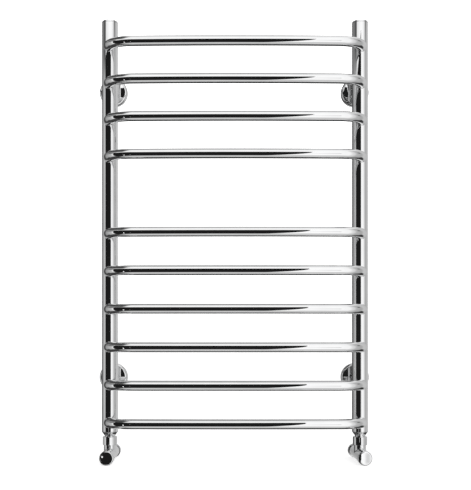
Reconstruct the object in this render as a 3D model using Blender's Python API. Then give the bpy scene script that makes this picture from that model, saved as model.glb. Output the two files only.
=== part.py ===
"""A wall-hung ladder towel radiator with two angle valves.

Two vertical round tubes carry ten bowed rungs. Four brackets hold the tubes off the wall, and each
tube stands on a shut-off valve whose knob faces the room.

Units are metres. +Z is up, -Y is towards the room, and the wall is the plane y = 0. The origin lies
on the wall, in the middle of the four brackets.
"""

from math import cos, pi, radians, sin, tau

import bmesh
import bpy
from mathutils import Matrix, Vector

# Ladder
TUBE_SPACING = 0.500
TUBE_RADIUS = 0.016
TUBE_WALL = 0.0015
TUBE_TOP = 0.4140
TUBE_BOTTOM = -0.4005
TUBE_TO_WALL = 0.073
RUNG_RADIUS = 0.010
RUNG_WALL = 0.0015
RUNG_TO_TUBE = 0.050
RUNG_BOW = 0.003
BEND_ACROSS = 0.050
BEND_DEPTH = 0.034
RUNG_END_TO_TUBE = 0.0095
TOP_RUNG = 0.3640
UPPER_RUNGS = 4
UPPER_PITCH = 0.0732
TOWEL_GAP = 0.1518
LOWER_RUNGS = 6
LOWER_PITCH = 0.0749
CAP_HEIGHT = 0.0042
CAP_EDGE = 0.0016
CONE_HEIGHT = 0.0080
CONE_EDGE = 0.0010
CONE_NECK = 0.0105
SPIGOT = 0.006

# Brackets
BRACKET_RISE = 0.2946
BASE_RADIUS = 0.022
BASE_THICKNESS = 0.004
SOCKET_RADIUS = 0.0115
SOCKET_DEPTH = 0.0135
POST_RADIUS = 0.009
POST_END = 0.008
BOSS_RADIUS = 0.010
BOSS_TO_WALL = 0.051
STUD_RADIUS = 0.0044
STUD_LENGTH = 0.0055
COVER_RADIUS = 0.029
COVER_DEPTH = 0.016
COVER_EDGE = 0.006
COVER_DOME = 0.0009
COVER_SHEET = 0.0012
WALL_SCREW_RADIUS = 0.0024
WALL_SCREW_HEAD = 0.0045
WALL_SCREW_REACH = 0.032
SET_SCREW_RADIUS = 0.0019
SET_SCREW_LENGTH = 0.0030
SET_SCREW_TO_WALL = 0.0103

# Unions between the tubes and the valves, as heights
VALVE_AXIS = -0.4468
NUT_TOP = -0.4108
NUT_BOTTOM = -0.4273
NUT_ACROSS_FLATS = 0.030
NUT_CORNER = 0.0158
NUT_LIP = 0.0060
NUT_CHAMFER = 0.0022
TAIL_RADIUS = 0.0085
TAIL_TOP = -0.3980
FLANGE_RADIUS = 0.0123
FLANGE_HEIGHT = 0.0030
GASKET_HEIGHT = 0.0017
WATERWAY = 0.0065

# Valves, as distances from the wall
VALVE_NECK_RADIUS = 0.01225
VALVE_RADIUS = 0.0125
VALVE_BACK = 0.0113
VALVE_FRONT = 0.1135
INLET_RADIUS = 0.0097
INLET_END = 0.0030
INLET_NUT_RADIUS = 0.01425
INLET_NUT_HOLE = 0.0076
SEAT = 0.0615
CHAMBER_RADIUS = 0.0095
BONNET_BACK = 0.0900
BONNET_FRONT = 0.1190
BONNET_FLANGE = 0.0110
STEM_RADIUS = 0.0040
STEM_COLLAR = 0.0055
STEM_COLLAR_LENGTH = 0.0020
STEM_THREAD = 0.0030
STEM_END = 0.0705
STEM_FRONT = 0.1280
SEAL_BACK = 0.1050
SEAL_SIZE = 0.0020
PLUG_RADIUS = 0.0088
PLUG_DISC = 0.0050
PLUG_FLOOR = 0.0012
PLUG_HUB = 0.0052
PLUG_FRONT = 0.0780
WASHER_THICKNESS = 0.0025
KNOB_RADIUS = 0.01415
KNOB_BACK = 0.1155
KNOB_FRONT = 0.1362
KNOB_EDGE = 0.0030
KNOB_DOME = 0.0006

# Air vent at the back of the left tube
VENT_HEIGHT = 0.396
VENT_RADIUS = 0.008
VENT_SPIGOT = 0.006
VENT_LENGTH = 0.0075
BLEED_RADIUS = 0.0030
BLEED_LENGTH = 0.0080
BLEED_HEAD = 0.0015
SLOT_WIDTH = 0.0010
SLOT_DEPTH = 0.0008

# Every piece keeps this gap to the piece that it is screwed, pressed or welded to.
GAP = 0.0003
SLIDING_GAP = 0.0006
CHAMFER = 0.0008
PAST = 0.002  # how far a cutter runs past the face that it opens

# Facets round a turned piece, and steps along a rounded edge
ROUND = 16
SMALL_ROUND = 12
TINY_ROUND = 8
RUNG_ROUND = 12
BOW_STEPS = 2
BEND_STEPS = 5
EDGE_STEPS = 3

SIDES = {"left": -1, "right": 1}
ROWS = {"upper": 1, "lower": -1}
TOWARDS_ROOM = (radians(90), 0, 0)

# Colour, metallic and roughness of each material
MATERIALS = {
    "chrome": ((0.86, 0.86, 0.87), 1.0, 0.05),
    "steel": ((0.62, 0.63, 0.64), 1.0, 0.35),
    "brass": ((0.78, 0.60, 0.30), 1.0, 0.30),
    "rubber": ((0.03, 0.03, 0.03), 0.0, 0.70),
}


def clear_scene():
    for old in list(bpy.data.objects):
        bpy.data.objects.remove(old, do_unlink=True)


def material(name):
    """The Principled material of that name, made on its first use."""
    if name in bpy.data.materials:
        return bpy.data.materials[name]
    colour, metallic, roughness = MATERIALS[name]
    made = bpy.data.materials.new(name)
    made.use_nodes = True
    shader = made.node_tree.nodes["Principled BSDF"]
    shader.inputs["Base Color"].default_value = (*colour, 1.0)
    shader.inputs["Metallic"].default_value = metallic
    shader.inputs["Roughness"].default_value = roughness
    return made


# Shapes


def turned(profile, facets, closed):
    """A profile of (distance along Z, radius) points, spun about Z.

    A closed profile makes a ring. An open one starts and ends on the axis and makes a solid.
    """
    shape = bmesh.new()
    corners = [shape.verts.new((radius, 0, along)) for along, radius in profile]
    edges = [shape.edges.new(pair) for pair in zip(corners, corners[1:])]
    if closed:
        edges.append(shape.edges.new((corners[-1], corners[0])))
    spun = corners + edges
    bmesh.ops.spin(shape, geom=spun, cent=(0, 0, 0), axis=(0, 0, 1), steps=facets, angle=tau, use_merge=True)
    bmesh.ops.remove_doubles(shape, verts=shape.verts, dist=1e-6)
    bmesh.ops.recalc_face_normals(shape, faces=shape.faces)
    return shape


def add_cylinder(shape, radius, start, end, facets):
    """Adds a solid cylinder that runs from one point to another."""
    start, end = Vector(start), Vector(end)
    turn = (end - start).to_track_quat("Z", "Y").to_matrix().to_4x4()
    bmesh.ops.create_cone(
        shape,
        cap_ends=True,
        segments=facets,
        radius1=radius,
        radius2=radius,
        depth=(end - start).length,
        matrix=Matrix.Translation((start + end) / 2) @ turn,
    )


def cylinder(radius, start, end, facets):
    shape = bmesh.new()
    add_cylinder(shape, radius, start, end, facets)
    return shape


def box(centre, size):
    shape = bmesh.new()
    bmesh.ops.create_cube(shape, size=1, matrix=Matrix.Translation(centre) @ Matrix.Diagonal((*size, 1)))
    return shape


def arc(centre, radii, start, end, steps=EDGE_STEPS):
    """Profile points on an ellipse, from one angle to another, in degrees from the radial direction."""
    angles = [radians(start + (end - start) * step / steps) for step in range(steps + 1)]
    return [(centre[0] + radii[0] * sin(a), centre[1] + radii[1] * cos(a)) for a in angles]


# Objects


def new_object(name, shape, location, rotation):
    mesh = bpy.data.meshes.new(name)
    shape.to_mesh(mesh)
    shape.free()
    made = bpy.data.objects.new(name, mesh)
    made.location = location
    made.rotation_euler = rotation
    bpy.context.scene.collection.objects.link(made)
    return made


def add_piece(name, shape, slot, location=(0, 0, 0), rotation=(0, 0, 0)):
    made = new_object(name, shape, location, rotation)
    made.data.materials.append(material(slot))
    made.data.shade_smooth()
    made.data.set_sharp_from_angle(angle=radians(35))
    return made


def combine(piece, operation, shape):
    """Joins a shape to a piece, or cuts it by one, in the piece's own coordinates."""
    name = f"{piece.name}_{operation.lower()}_{len(piece.modifiers)}"
    helper = new_object(name, shape, piece.location, piece.rotation_euler)
    helper.hide_render = True
    helper.display_type = "WIRE"
    modifier = piece.modifiers.new(name, "BOOLEAN")
    modifier.operation = operation
    modifier.object = helper


# Ladder


def rung_heights():
    upper = [TOP_RUNG - index * UPPER_PITCH for index in range(UPPER_RUNGS)]
    first_lower = upper[-1] - TOWEL_GAP
    return upper + [first_lower - index * LOWER_PITCH for index in range(LOWER_RUNGS)]


def upright(side, place):
    """A vertical tube with a hole for each rung and a welded boss for each bracket."""
    bore = TUBE_RADIUS - TUBE_WALL
    ring = [(TUBE_BOTTOM, bore), (TUBE_TOP, bore), (TUBE_TOP, TUBE_RADIUS), (TUBE_BOTTOM, TUBE_RADIUS)]
    tube = add_piece(f"upright_{side}", turned(ring, ROUND, True), "chrome", place)
    boss_end = TUBE_TO_WALL - BOSS_TO_WALL
    bosses = bmesh.new()
    holes = bmesh.new()
    for row in ROWS.values():
        z = row * BRACKET_RISE
        add_cylinder(bosses, BOSS_RADIUS, (0, bore + GAP, z), (0, boss_end, z), SMALL_ROUND)
        add_cylinder(holes, STUD_RADIUS + GAP, (0, TUBE_RADIUS, z), (0, boss_end + PAST, z), SMALL_ROUND)
    for z in rung_heights():
        add_cylinder(holes, RUNG_RADIUS + GAP, (0, -TUBE_RADIUS - PAST, z), (0, -PAST, z), RUNG_ROUND)
    if side == "left":
        back = (0, TUBE_RADIUS + PAST, VENT_HEIGHT)
        add_cylinder(holes, VENT_SPIGOT + GAP, (0, PAST, VENT_HEIGHT), back, SMALL_ROUND)
    combine(tube, "UNION", bosses)
    combine(tube, "DIFFERENCE", holes)


def top_cap(side, place):
    """A flat plug with a rounded edge, welded into the top of a tube."""
    spigot = TUBE_RADIUS - TUBE_WALL - GAP
    base = TUBE_TOP + GAP
    top = TUBE_TOP + CAP_HEIGHT
    edge = arc((top - CAP_EDGE, TUBE_RADIUS - CAP_EDGE), (CAP_EDGE, CAP_EDGE), 0, 90)
    below = TUBE_TOP - SPIGOT
    profile = [(below, 0), (below, spigot), (base, spigot), (base, TUBE_RADIUS), *edge, (top, 0)]
    add_piece(f"top_cap_{side}", turned(profile, ROUND, False), "chrome", place)


def end_cone(side, place):
    """The reducer under a tube, threaded inside for the valve's tail."""
    spigot = TUBE_RADIUS - TUBE_WALL - GAP
    thread = TAIL_RADIUS + GAP
    base = TUBE_BOTTOM - GAP
    above = TUBE_BOTTOM + SPIGOT
    profile = [
        (above, thread),
        (above, spigot),
        (base, spigot),
        (base, TUBE_RADIUS),
        (base - CONE_EDGE, TUBE_RADIUS - GAP),
        (TUBE_BOTTOM - CONE_HEIGHT, CONE_NECK),
        (NUT_TOP + GAP, CONE_NECK),
        (NUT_TOP + GAP, thread),
    ]
    add_piece(f"end_cone_{side}", turned(profile, ROUND, True), "chrome", place)


def rung_path():
    """The centreline of a rung, from the left tube to the right one, as (point, outward direction).

    The middle is slightly bowed towards the room, and each end is a quarter of an ellipse.
    """
    front = -TUBE_TO_WALL - RUNG_TO_TUBE
    back = -TUBE_TO_WALL - RUNG_END_TO_TUBE
    reach = TUBE_SPACING / 2
    start = reach - BEND_ACROSS
    crown = RUNG_BOW / start**2
    depth = BEND_DEPTH - crown * reach**2
    steps = [(start * step / BOW_STEPS, 0, 1, 0) for step in range(BOW_STEPS)]
    for step in range(BEND_STEPS + 1):
        turn = pi / 2 * step / BEND_STEPS
        across, inward = BEND_ACROSS * cos(turn), depth * sin(turn)
        steps.append((start + BEND_ACROSS * sin(turn), depth * (1 - cos(turn)), across, inward))
    right = []
    for x, sunk, across, inward in steps:
        slope = 2 * crown * x * across
        out = Vector((inward + slope, -across, 0)).normalized()
        right.append((Vector((x, front + crown * x**2 + sunk, 0)), out))
    right.append((Vector((reach, back, 0)), Vector((1, 0, 0))))
    left = [(Vector((-p.x, p.y, 0)), Vector((-out.x, out.y, 0))) for p, out in reversed(right[1:])]
    return left + right


def add_skin(shape, radius, facets):
    """Adds a tube's skin along the rung's centreline, and gives its rings of points."""
    rings = []
    for point, out in rung_path():
        angles = [tau * facet / facets for facet in range(facets)]
        ring = [point + out * (radius * cos(a)) + Vector((0, 0, radius * sin(a))) for a in angles]
        rings.append([shape.verts.new(corner) for corner in ring])
    for ring, following in zip(rings, rings[1:]):
        for facet in range(facets):
            after = (facet + 1) % facets
            shape.faces.new((ring[facet], ring[after], following[after], following[facet]))
    return rings


def rung_shape():
    """A bowed tube: an outer skin, an inner one with half as many facets, and a face at each end."""
    shape = bmesh.new()
    outer_rings = add_skin(shape, RUNG_RADIUS, RUNG_ROUND)
    inner_rings = add_skin(shape, RUNG_RADIUS - RUNG_WALL, RUNG_ROUND // 2)
    for end in (0, -1):
        outer, inner = outer_rings[end], inner_rings[end]
        for facet, corner in enumerate(inner):
            first, middle, last = (outer[(2 * facet + step) % RUNG_ROUND] for step in range(3))
            after = inner[(facet + 1) % len(inner)]
            shape.faces.new((corner, first, middle))
            shape.faces.new((corner, middle, after))
            shape.faces.new((after, middle, last))
    bmesh.ops.recalc_face_normals(shape, faces=shape.faces)
    return shape


def rungs():
    for number, z in enumerate(rung_heights(), start=1):
        add_piece(f"rung_{number:02d}", rung_shape(), "chrome", (0, 0, z))


# Wall brackets: their profiles hold (distance from the wall, radius)


def bracket_base(name, place):
    """The round foot on the wall, with a socket that the post stands in."""
    socket = POST_RADIUS + GAP
    hole = WALL_SCREW_RADIUS + GAP
    profile = [
        (0, hole),
        (0, BASE_RADIUS),
        (BASE_THICKNESS, BASE_RADIUS - CHAMFER),
        (BASE_THICKNESS, SOCKET_RADIUS),
        (SOCKET_DEPTH, SOCKET_RADIUS),
        (SOCKET_DEPTH, socket),
        (BASE_THICKNESS, socket),
        (BASE_THICKNESS, hole),
    ]
    base = add_piece(f"{name}_base", turned(profile, SMALL_ROUND, True), "steel", place, TOWARDS_ROOM)
    middle = (0, -POST_RADIUS / 2, SET_SCREW_TO_WALL)
    below = (0, -SOCKET_RADIUS - PAST, SET_SCREW_TO_WALL)
    combine(base, "DIFFERENCE", cylinder(SET_SCREW_RADIUS + GAP, middle, below, TINY_ROUND))


def bracket_wall_screw(name, place):
    """A pan-head screw through the foot, into the wall."""
    head = BASE_THICKNESS + GAP
    dome = arc((head, WALL_SCREW_HEAD / 2), (0.0030, WALL_SCREW_HEAD / 2), 0, 90, 2)
    point = -WALL_SCREW_REACH
    shank = [(point, 0), (point + SPIGOT, WALL_SCREW_RADIUS), (head, WALL_SCREW_RADIUS)]
    profile = [*shank, *dome, (dome[-1][0], 0)]
    screw = turned(profile, TINY_ROUND, False)
    add_piece(f"{name}_wall_screw", screw, "steel", place, TOWARDS_ROOM)


def bracket_post(name, place):
    """The post between the foot and the tube, with a stud that screws into the tube's boss."""
    shoulder = BOSS_TO_WALL - GAP
    stud = shoulder + STUD_LENGTH
    profile = [
        (POST_END, 0),
        (POST_END, POST_RADIUS - CHAMFER),
        (POST_END + CHAMFER, POST_RADIUS),
        (shoulder, POST_RADIUS),
        (shoulder, STUD_RADIUS),
        (stud, STUD_RADIUS),
        (stud, 0),
    ]
    add_piece(f"{name}_post", turned(profile, SMALL_ROUND, False), "chrome", place, TOWARDS_ROOM)


def bracket_set_screw(name, place):
    """The grub screw under the socket, which clamps the post."""
    tip = -POST_RADIUS - GAP
    start, end = ((0, tip - length, SET_SCREW_TO_WALL) for length in (0, SET_SCREW_LENGTH))
    screw = cylinder(SET_SCREW_RADIUS, start, end, TINY_ROUND)
    add_piece(f"{name}_set_screw", screw, "steel", place, TOWARDS_ROOM)


def bracket_cover(name, place):
    """The shell that hides the foot and slides along the post: a skirt, a round edge and a flat dome."""
    bore = POST_RADIUS + SLIDING_GAP
    shoulder = COVER_DEPTH - COVER_DOME
    outer_edge = (COVER_EDGE, COVER_EDGE)
    inner_edge = (COVER_EDGE - COVER_SHEET, COVER_EDGE - COVER_SHEET)
    centre = (shoulder - COVER_EDGE, COVER_RADIUS - COVER_EDGE)
    profile = [
        (SLIDING_GAP, COVER_RADIUS),
        *arc(centre, outer_edge, 0, 90),
        (COVER_DEPTH, bore),
        (COVER_DEPTH - COVER_SHEET, bore),
        *arc(centre, inner_edge, 90, 0),
        (SLIDING_GAP, COVER_RADIUS - COVER_SHEET),
    ]
    add_piece(f"{name}_cover", turned(profile, ROUND, True), "chrome", place, TOWARDS_ROOM)


def brackets(side, x):
    for row, sign in ROWS.items():
        name = f"bracket_{row}_{side}"
        place = (x, 0, sign * BRACKET_RISE)
        bracket_base(name, place)
        bracket_wall_screw(name, place)
        bracket_post(name, place)
        bracket_set_screw(name, place)
        bracket_cover(name, place)


# Unions: they stand on the tube's axis, and their profiles hold (height, radius)


def flange_top():
    return NUT_TOP - NUT_LIP - GAP


def gasket_top():
    return flange_top() - FLANGE_HEIGHT - GAP


def valve_top():
    return gasket_top() - GASKET_HEIGHT - GAP


def union_nut(side, place):
    """A hexagon nut with turned corners and chamfers, a lip above and a threaded hollow below."""
    flat = NUT_ACROSS_FLATS / 2
    corner = flat / cos(pi / 6)
    prism = cylinder(corner, (0, 0, NUT_BOTTOM), (0, 0, NUT_TOP), 6)
    nut = add_piece(f"valve_{side}_union_nut", prism, "chrome", place)
    barrel = [
        (NUT_BOTTOM - GAP, 0),
        (NUT_BOTTOM - GAP, flat - CHAMFER),
        (NUT_BOTTOM + NUT_CHAMFER, NUT_CORNER),
        (NUT_TOP - NUT_CHAMFER, NUT_CORNER),
        (NUT_TOP + GAP, flat - CHAMFER),
        (NUT_TOP + GAP, 0),
    ]
    combine(nut, "INTERSECT", turned(barrel, ROUND, False))
    lip = NUT_TOP - NUT_LIP
    bore = [
        (NUT_BOTTOM - PAST, 0),
        (NUT_BOTTOM - PAST, FLANGE_RADIUS + GAP),
        (lip, FLANGE_RADIUS + GAP),
        (lip, TAIL_RADIUS + GAP),
        (NUT_TOP + PAST, TAIL_RADIUS + GAP),
        (NUT_TOP + PAST, 0),
    ]
    combine(nut, "DIFFERENCE", turned(bore, ROUND, False))


def union_tail(side, place):
    """The short pipe screwed into the reducer, with the flange that the nut pulls on."""
    under = flange_top() - FLANGE_HEIGHT
    profile = [
        (under, WATERWAY),
        (under, FLANGE_RADIUS),
        (flange_top(), FLANGE_RADIUS),
        (flange_top(), TAIL_RADIUS),
        (TAIL_TOP, TAIL_RADIUS),
        (TAIL_TOP, WATERWAY),
    ]
    add_piece(f"valve_{side}_union_tail", turned(profile, ROUND, True), "brass", place)


def union_gasket(side, place):
    top = gasket_top()
    under = top - GASKET_HEIGHT
    outer = FLANGE_RADIUS - GAP
    profile = [(under, WATERWAY), (under, outer), (top, outer), (top, WATERWAY)]
    add_piece(f"valve_{side}_union_gasket", turned(profile, ROUND, True), "rubber", place)


# Valves: they lie on a level axis, and their profiles hold (distance from the wall, radius)


def valve_body(side, place):
    """A level barrel from inlet to bonnet, with a neck up to the union and a seat inside."""
    barrel = [
        (INLET_END, 0),
        (INLET_END, INLET_RADIUS),
        (VALVE_BACK, INLET_RADIUS),
        (VALVE_BACK, VALVE_RADIUS),
        (VALVE_FRONT - CHAMFER, VALVE_RADIUS),
        (VALVE_FRONT, VALVE_RADIUS - CHAMFER),
        (VALVE_FRONT, 0),
    ]
    body = add_piece(f"valve_{side}_body", turned(barrel, ROUND, False), "chrome", place, TOWARDS_ROOM)
    foot = (0, 0, TUBE_TO_WALL)
    rise = valve_top() - VALVE_AXIS
    neck = cylinder(VALVE_NECK_RADIUS, foot, (0, rise, TUBE_TO_WALL), ROUND)
    combine(body, "UNION", neck)
    hollow = [
        (INLET_END - PAST, 0),
        (INLET_END - PAST, WATERWAY),
        (SEAT, WATERWAY),
        (SEAT, CHAMBER_RADIUS),
        (VALVE_FRONT + PAST, CHAMBER_RADIUS),
        (VALVE_FRONT + PAST, 0),
    ]
    combine(body, "DIFFERENCE", turned(hollow, SMALL_ROUND, False))
    port = cylinder(WATERWAY, foot, (0, rise + PAST, TUBE_TO_WALL), SMALL_ROUND)
    combine(body, "DIFFERENCE", port)


def inlet_nut(side, place):
    """The round nut against the wall, which clamps the supply pipe."""
    thread = INLET_RADIUS + GAP
    lip = INLET_END - GAP
    front = VALVE_BACK - GAP
    profile = [
        (SLIDING_GAP, INLET_NUT_HOLE),
        (SLIDING_GAP, INLET_NUT_RADIUS),
        (front - CHAMFER, INLET_NUT_RADIUS),
        (front, INLET_NUT_RADIUS - CHAMFER),
        (front, thread),
        (lip, thread),
        (lip, INLET_NUT_HOLE),
    ]
    add_piece(f"valve_{side}_inlet_nut", turned(profile, ROUND, True), "chrome", place, TOWARDS_ROOM)


def valve_bonnet(side, place):
    """The headwork screwed into the front of the barrel, with a groove for the stem's seal."""
    bore = STEM_RADIUS + GAP
    thread = CHAMBER_RADIUS - 2 * GAP
    groove = bore + SEAL_SIZE + GAP
    groove_back = SEAL_BACK - GAP
    groove_front = SEAL_BACK + SEAL_SIZE + GAP
    shoulder = VALVE_FRONT + GAP
    profile = [
        (BONNET_BACK, bore),
        (BONNET_BACK, thread),
        (shoulder, thread),
        (shoulder, BONNET_FLANGE),
        (BONNET_FRONT, BONNET_FLANGE),
        (BONNET_FRONT, bore),
        (groove_front, bore),
        (groove_front, groove),
        (groove_back, groove),
        (groove_back, bore),
    ]
    add_piece(f"valve_{side}_bonnet", turned(profile, SMALL_ROUND, True), "brass", place, TOWARDS_ROOM)


def stem_seal(side, place):
    """An O-ring in the bonnet's groove."""
    half = SEAL_SIZE / 2
    centre = (SEAL_BACK + half, STEM_RADIUS + GAP + half)
    ring = arc(centre, (half, half), 0, 300, 5)
    add_piece(f"valve_{side}_stem_seal", turned(ring, SMALL_ROUND, True), "rubber", place, TOWARDS_ROOM)


def valve_stem(side, place):
    """The spindle: a knob end, a collar behind the bonnet and a thread that drives the plug."""
    collar_front = BONNET_BACK - GAP
    collar_back = collar_front - STEM_COLLAR_LENGTH
    profile = [
        (STEM_END, 0),
        (STEM_END, STEM_THREAD),
        (collar_back, STEM_THREAD),
        (collar_back, STEM_COLLAR),
        (collar_front, STEM_COLLAR),
        (collar_front, STEM_RADIUS),
        (STEM_FRONT, STEM_RADIUS),
        (STEM_FRONT, 0),
    ]
    add_piece(f"valve_{side}_stem", turned(profile, SMALL_ROUND, False), "brass", place, TOWARDS_ROOM)


def plug_washer(side, place):
    """The rubber disc that presses on the seat."""
    back = SEAT + GAP
    front = back + WASHER_THICKNESS
    outer = PLUG_RADIUS - GAP
    profile = [(back, 0), (back, outer), (front, outer), (front, 0)]
    washer = turned(profile, SMALL_ROUND, False)
    add_piece(f"valve_{side}_plug_washer", washer, "rubber", place, TOWARDS_ROOM)


def valve_plug(side, place):
    """The disc that carries the washer, with a threaded hub around the stem's end."""
    back = SEAT + GAP + WASHER_THICKNESS + GAP
    disc_front = back + PLUG_DISC
    bore = STEM_THREAD + GAP
    profile = [
        (back, 0),
        (back, PLUG_RADIUS),
        (disc_front, PLUG_RADIUS),
        (disc_front, PLUG_HUB),
        (PLUG_FRONT, PLUG_HUB),
        (PLUG_FRONT, bore),
        (back + PLUG_FLOOR, bore),
        (back + PLUG_FLOOR, 0),
    ]
    add_piece(f"valve_{side}_plug", turned(profile, SMALL_ROUND, False), "brass", place, TOWARDS_ROOM)


def valve_knob(side, place):
    """A round hand knob with a soft edge and a slightly domed face, hollow behind."""
    face = KNOB_RADIUS - KNOB_EDGE
    edge_centre = (KNOB_FRONT - KNOB_DOME - KNOB_EDGE, face)
    recess = BONNET_FLANGE + SLIDING_GAP
    hub = BONNET_FRONT + SLIDING_GAP
    bore = STEM_RADIUS + GAP
    bottom = STEM_FRONT + GAP
    profile = [
        (KNOB_FRONT, 0),
        *arc(edge_centre, (KNOB_EDGE, KNOB_EDGE), 90, 0),
        (KNOB_BACK + CHAMFER, KNOB_RADIUS),
        (KNOB_BACK, KNOB_RADIUS - CHAMFER),
        (KNOB_BACK, recess),
        (hub, recess),
        (hub, bore),
        (bottom, bore),
        (bottom, 0),
    ]
    add_piece(f"valve_{side}_knob", turned(profile, ROUND, False), "chrome", place, TOWARDS_ROOM)


def valve(side, x):
    below_tube = (x, -TUBE_TO_WALL, 0)
    level = (x, 0, VALVE_AXIS)
    union_nut(side, below_tube)
    union_tail(side, below_tube)
    union_gasket(side, below_tube)
    valve_body(side, level)
    inlet_nut(side, level)
    valve_bonnet(side, level)
    stem_seal(side, level)
    valve_stem(side, level)
    plug_washer(side, level)
    valve_plug(side, level)
    valve_knob(side, level)


# Air vent


def air_vent_body(place):
    """A round plug screwed into the back of the tube."""
    tube_back = TUBE_TO_WALL - TUBE_RADIUS
    head = tube_back - VENT_LENGTH
    shoulder = tube_back - GAP
    bore = BLEED_RADIUS + GAP
    profile = [
        (head, bore),
        (head, VENT_RADIUS - CHAMFER),
        (head + CHAMFER, VENT_RADIUS),
        (shoulder, VENT_RADIUS),
        (shoulder, VENT_SPIGOT),
        (tube_back + SPIGOT, VENT_SPIGOT),
        (tube_back + SPIGOT, bore),
    ]
    add_piece("air_vent_body", turned(profile, SMALL_ROUND, True), "chrome", place, TOWARDS_ROOM)


def bleed_screw(place):
    """The slotted screw in the middle of the vent, which lets air out."""
    head = TUBE_TO_WALL - TUBE_RADIUS - VENT_LENGTH - BLEED_HEAD
    shank = cylinder(BLEED_RADIUS, (0, 0, head), (0, 0, head + BLEED_LENGTH), SMALL_ROUND)
    screw = add_piece("air_vent_bleed_screw", shank, "steel", place, TOWARDS_ROOM)
    slot = box((0, 0, head), (SLOT_WIDTH, 3 * BLEED_RADIUS, 2 * SLOT_DEPTH))
    combine(screw, "DIFFERENCE", slot)


def main():
    clear_scene()
    rungs()
    for side, sign in SIDES.items():
        x = sign * TUBE_SPACING / 2
        place = (x, -TUBE_TO_WALL, 0)
        upright(side, place)
        top_cap(side, place)
        end_cone(side, place)
        brackets(side, x)
        valve(side, x)
    vent_place = (-TUBE_SPACING / 2, 0, VENT_HEIGHT)
    air_vent_body(vent_place)
    bleed_screw(vent_place)


main()
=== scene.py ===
"""Looks of a wall-hung ladder towel radiator with two angle valves.

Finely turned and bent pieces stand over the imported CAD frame. They have plated, zinc, brass and
rubber finishes, and stand in a plain white studio whose dark and bright sides show in the chrome.

Units are metres. +Z is up, -Y is towards the room, and the wall is the plane y = 0.
"""

from math import acos, atan, cos, pi, radians, sin, sqrt, tau

import bmesh
import bpy
from mathutils import Matrix, Vector


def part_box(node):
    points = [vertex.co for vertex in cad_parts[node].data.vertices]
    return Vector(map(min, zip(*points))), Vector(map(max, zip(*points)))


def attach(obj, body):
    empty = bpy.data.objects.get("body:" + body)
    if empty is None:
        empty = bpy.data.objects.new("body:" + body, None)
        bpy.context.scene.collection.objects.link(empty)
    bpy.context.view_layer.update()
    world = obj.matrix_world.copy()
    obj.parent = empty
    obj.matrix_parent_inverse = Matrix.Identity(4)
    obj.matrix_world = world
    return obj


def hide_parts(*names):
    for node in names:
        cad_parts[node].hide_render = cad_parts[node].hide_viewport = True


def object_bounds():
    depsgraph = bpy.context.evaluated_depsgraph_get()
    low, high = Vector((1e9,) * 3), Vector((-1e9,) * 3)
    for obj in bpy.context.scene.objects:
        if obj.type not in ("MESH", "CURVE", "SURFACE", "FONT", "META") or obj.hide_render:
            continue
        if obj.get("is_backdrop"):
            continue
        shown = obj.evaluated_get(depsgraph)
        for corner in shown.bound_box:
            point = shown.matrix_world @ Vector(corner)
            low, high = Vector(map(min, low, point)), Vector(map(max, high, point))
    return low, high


# Ladder
TUBE_WALL = 0.0015
RUNG_RADIUS = 0.010
RUNG_BOW = 0.003
BEND_ACROSS = 0.050
RUNG_FILLET = 0.0012
RUNG_END_DEPTH = 0.001
BEND_STOP = 86  # degrees of the bend that are modelled before the weld takes over
TUBE_SOFT = 0.0002
CAP_EDGE = 0.0016
CAP_CHAMFER = 0.0002
CONE_HEIGHT = 0.0080
CONE_NECK = 0.0105
CONE_SHOULDER = 0.0006
CONE_SHRINK = 0.0001
CONE_SOFT = 0.0004

# Brackets: distances from the wall, and radii
BASE_THICKNESS = 0.004
BASE_SOFT = 0.0004
SOCKET_RADIUS = 0.0115
SOCKET_DEPTH = 0.0135
POST_RADIUS = 0.009
STUD_RADIUS = 0.0044
BOSS_RADIUS = 0.010
BOSS_FILLET = 0.0012
BOSS_TO_WALL = 0.051
COVER_EDGE = 0.006
COVER_DOME = 0.0009
COVER_SHEET = 0.0012
COVER_PLAY = 0.0006
WALL_SCREW_CORE = 0.0019
WALL_SCREW_RADIUS = 0.0024
WALL_SCREW_HEAD = 0.0045
WALL_SCREW_DOME = 0.0030
WALL_SCREW_PITCH = 0.0018
WALL_SCREW_TIP = 0.006
THREAD_TO_HEAD = 0.004
SHANK_TO_HEAD = 0.0035
SET_SCREW_RADIUS = 0.0019
SET_SCREW_CHAMFER = 0.0002
SET_SCREW_KEY = 0.0010
SET_SCREW_KEY_DEPTH = 0.0014

# Valves
TAIL_RADIUS = 0.0085
FLANGE_RADIUS = 0.0123
NUT_LIP = 0.0060
NUT_BEVEL = 0.0014
NUT_FLAT_SINK = 0.0007
VALVE_NECK_RADIUS = 0.01225
VALVE_NECK_FILLET = 0.0016
VALVE_RADIUS = 0.0125
VALVE_SOFT = 0.0006
VALVE_BACK = 0.0113
VALVE_FRONT = 0.1135
INLET_RADIUS = 0.0097
INLET_END = 0.0030
INLET_NUT_HOLE = 0.0076
INLET_NUT_SOFT = 0.0009
SEAT = 0.0615
CHAMBER_RADIUS = 0.0095
WATERWAY = 0.0065
BONNET_BACK = 0.0900
BONNET_FRONT = 0.1190
BONNET_FLANGE = 0.0110
BONNET_LIP = 0.004
COLLAR_ROOM = 0.0016
STEM_RADIUS = 0.0040
STEM_FRONT = 0.1280
KNOB_FACE = 0.0112
KNOB_EDGE = 0.0029
KNOB_DOME = 0.0004
KNOB_CHAMFER = 0.0006

# Air vent
VENT_FILLET = 0.0003
VENT_SOFT = 0.0006
VENT_LIP = 0.001
VENT_SIDE = 0.002
VENT_DEPTH = 0.002
BLEED_RADIUS = 0.0030
SLOT_WIDTH = 0.0010
SLOT_DEPTH = 0.0008
LAND_HEART = 0.6  # where the faces of a land's ends meet, as a share of the screw's radius

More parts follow.
